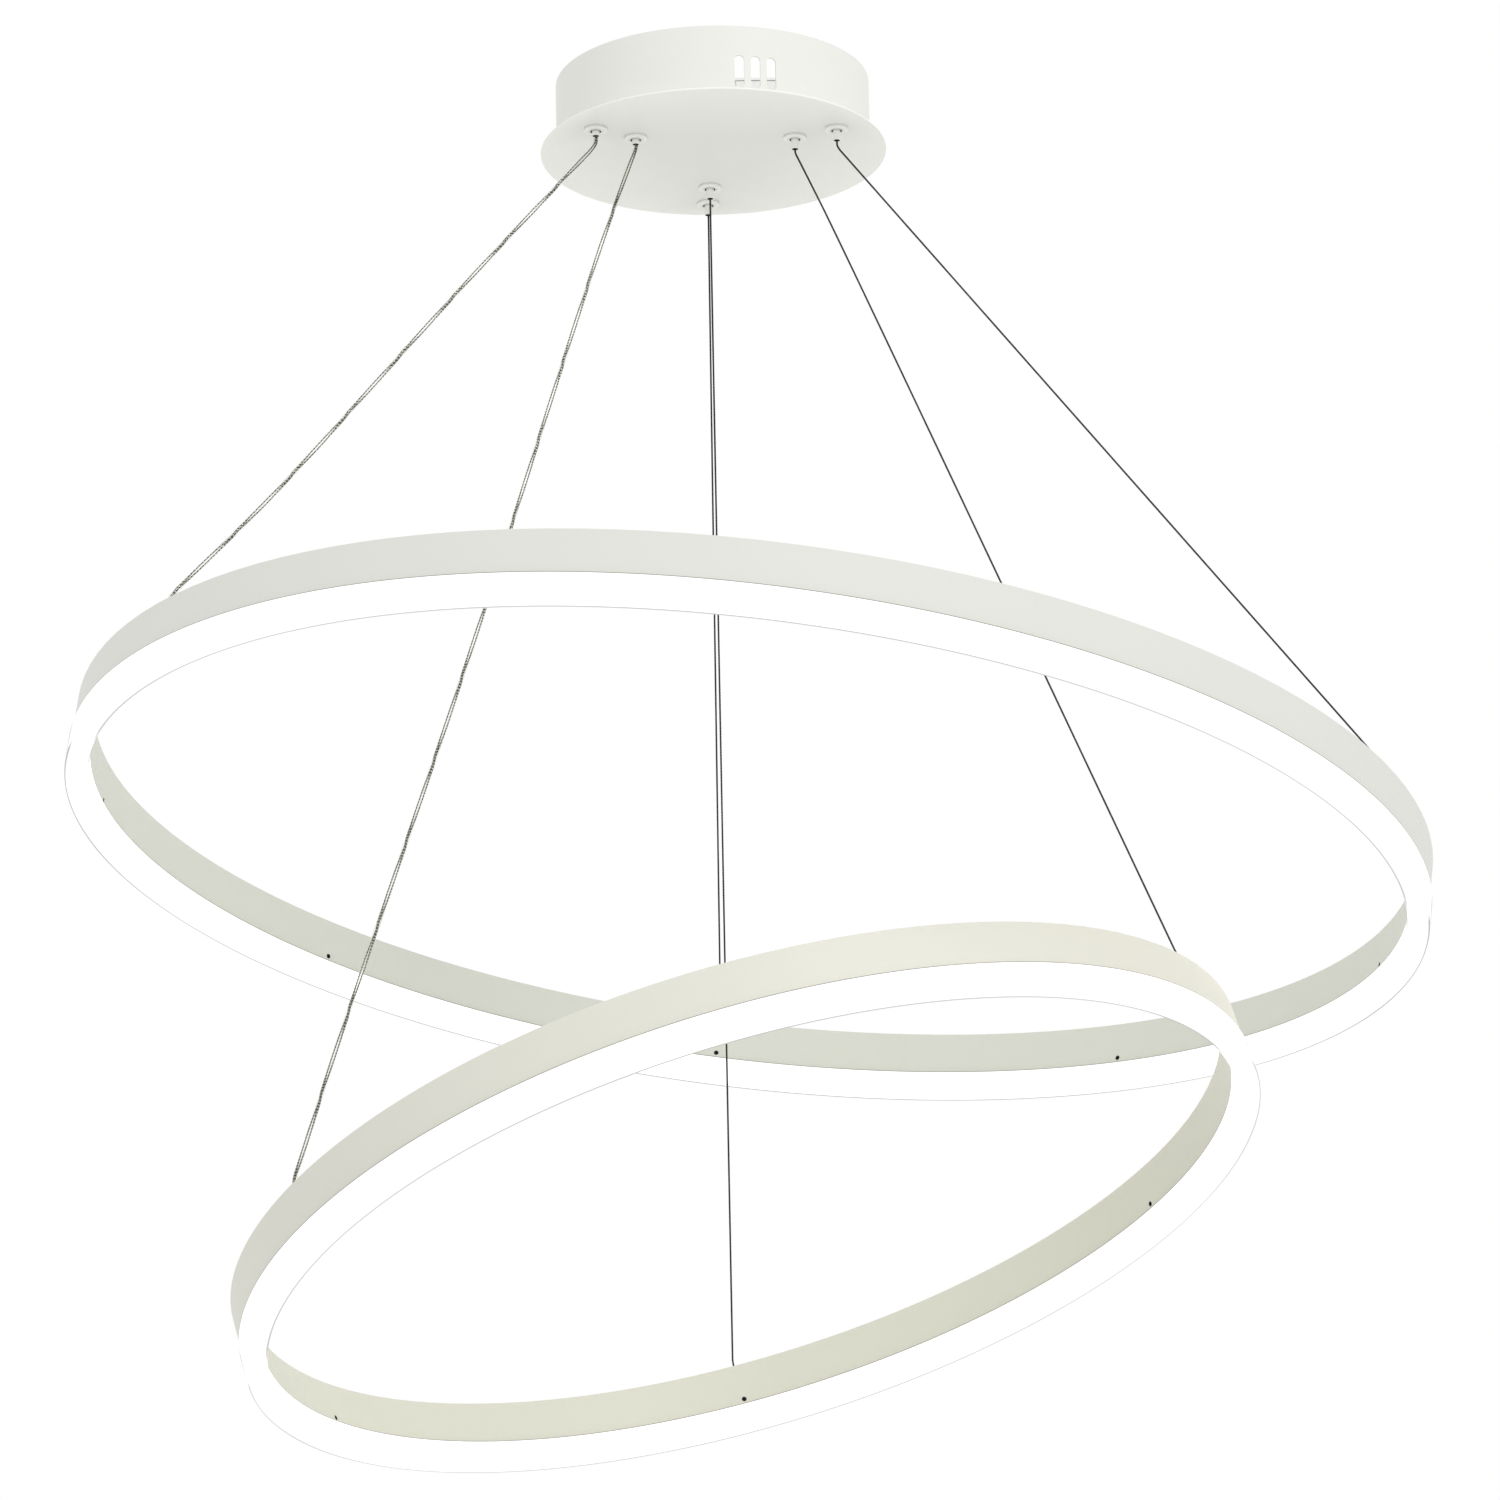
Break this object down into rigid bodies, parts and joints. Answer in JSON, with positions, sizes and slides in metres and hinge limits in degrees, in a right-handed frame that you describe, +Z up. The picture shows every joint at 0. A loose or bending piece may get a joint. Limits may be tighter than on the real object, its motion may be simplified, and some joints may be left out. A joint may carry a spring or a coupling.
{
  "type": "led pendant light",
  "caption": "Pendant light with a large and a small tilted LED ring, hung on wires and power cables from a drum canopy with press-to-adjust cable grips.",
  "frame": {"origin": "on the ceiling, at the centre of the canopy and midway between the two fixing slots of the bracket", "axes": "+Z up into the ceiling, +X along the bracket to the right, +Y to the rear; the vent slots face the front"},
  "size_m": [0.7961, 0.799, 0.8126],
  "materials": {
    "canopy_white": "white paint, satin",
    "ring_white": "white powder coat, satin",
    "diffuser": "opal white, lit",
    "steel": "zinc plate",
    "black_steel": "blackened",
    "wire": "stranded wire",
    "clear_cable": "clear sheath over twisted tinned strands",
    "white_plastic": "moulded",
    "board": "circuit board",
    "strip": "white circuit strip",
    "led": "phosphor face",
    "brass": "turned"
  },
  "bodies": {
    "canopy": {"canopy_drum": "canopy_white", "canopy_plate": "canopy_white", "canopy_set_screws": "steel", "ceiling_bracket": "steel", "driver_board": "board", "driver_case": "white_plastic", "driver_lid": "white_plastic", "driver_screws": "steel", "earth_screw": "brass", "grip_caps": "steel", "grip_lock_nuts": "steel", "large_inner_cable": "clear_cable", "large_left_grip_collar": "canopy_white", "large_left_grip_spring": "steel", "large_left_power_cable": "clear_cable", "large_rear_grip_collar": "canopy_white", "large_rear_grip_spring": "steel", "large_rear_wire": "wire", "large_right_grip_collar": "canopy_white", "large_right_grip_spring": "steel", "large_right_wire": "wire", "mains_lead": "white_plastic", "plate_nuts": "steel", "small_inner_cable": "clear_cable", "small_left_grip_collar": "canopy_white", "small_left_grip_spring": "steel", "small_left_power_cable": "clear_cable", "small_rear_grip_collar": "canopy_white", "small_rear_grip_spring": "steel", "small_rear_wire": "wire", "small_right_grip_collar": "canopy_white", "small_right_grip_spring": "steel", "small_right_wire": "wire", "terminal_block": "white_plastic", "terminal_screws": "brass"},
    "large_ring": {"large_ring_band": "ring_white", "large_ring_diffuser": "diffuser", "large_ring_led_chips": "led", "large_ring_led_strip": "strip", "large_ring_screws": "black_steel", "large_ring_wire_stops": "steel"},
    "small_ring": {"small_ring_band": "ring_white", "small_ring_diffuser": "diffuser", "small_ring_led_chips": "led", "small_ring_led_strip": "strip", "small_ring_screws": "black_steel", "small_ring_wire_stops": "steel"},
    "large_left_grip_press": {"large_left_grip_plunger": "canopy_white", "large_left_grip_balls": "steel"},
    "large_right_grip_press": {"large_right_grip_plunger": "canopy_white", "large_right_grip_balls": "steel"},
    "large_rear_grip_press": {"large_rear_grip_plunger": "canopy_white", "large_rear_grip_balls": "steel"},
    "small_left_grip_press": {"small_left_grip_plunger": "canopy_white", "small_left_grip_balls": "steel"},
    "small_right_grip_press": {"small_right_grip_plunger": "canopy_white", "small_right_grip_balls": "steel"},
    "small_rear_grip_press": {"small_rear_grip_plunger": "canopy_white", "small_rear_grip_balls": "steel"}
  },
  "joints": [
    {"name": "large_ring_height", "type": "slide", "parent": "canopy", "child": "large_ring", "axis": [0, 0, 1], "range_m": [0, 0.25], "deforming": ["large_left_power_cable", "large_right_wire", "large_rear_wire"]},
    {"name": "small_ring_height", "type": "slide", "parent": "canopy", "child": "small_ring", "axis": [0, 0, 1], "range_m": [0, 0.15], "deforming": ["small_left_power_cable", "small_right_wire", "small_rear_wire"]},
    {"name": "large_left_grip_release", "type": "slide", "parent": "canopy", "child": "large_left_grip_press", "axis": [0, 0, 1], "range_m": [0, 0.0025], "stiffness_N_per_m": 400, "springref_m": -0.003, "deforming": ["large_left_grip_spring"]},
    {"name": "large_right_grip_release", "type": "slide", "parent": "canopy", "child": "large_right_grip_press", "axis": [0, 0, 1], "range_m": [0, 0.0025], "stiffness_N_per_m": 400, "springref_m": -0.003, "deforming": ["large_right_grip_spring"]},
    {"name": "large_rear_grip_release", "type": "slide", "parent": "canopy", "child": "large_rear_grip_press", "axis": [0, 0, 1], "range_m": [0, 0.0025], "stiffness_N_per_m": 400, "springref_m": -0.003, "deforming": ["large_rear_grip_spring"]},
    {"name": "small_left_grip_release", "type": "slide", "parent": "canopy", "child": "small_left_grip_press", "axis": [0, 0, 1], "range_m": [0, 0.0025], "stiffness_N_per_m": 400, "springref_m": -0.003, "deforming": ["small_left_grip_spring"]},
    {"name": "small_right_grip_release", "type": "slide", "parent": "canopy", "child": "small_right_grip_press", "axis": [0, 0, 1], "range_m": [0, 0.0025], "stiffness_N_per_m": 400, "springref_m": -0.003, "deforming": ["small_right_grip_spring"]},
    {"name": "small_rear_grip_release", "type": "slide", "parent": "canopy", "child": "small_rear_grip_press", "axis": [0, 0, 1], "range_m": [0, 0.0025], "stiffness_N_per_m": 400, "springref_m": -0.003, "deforming": ["small_rear_grip_spring"]}
  ]
}
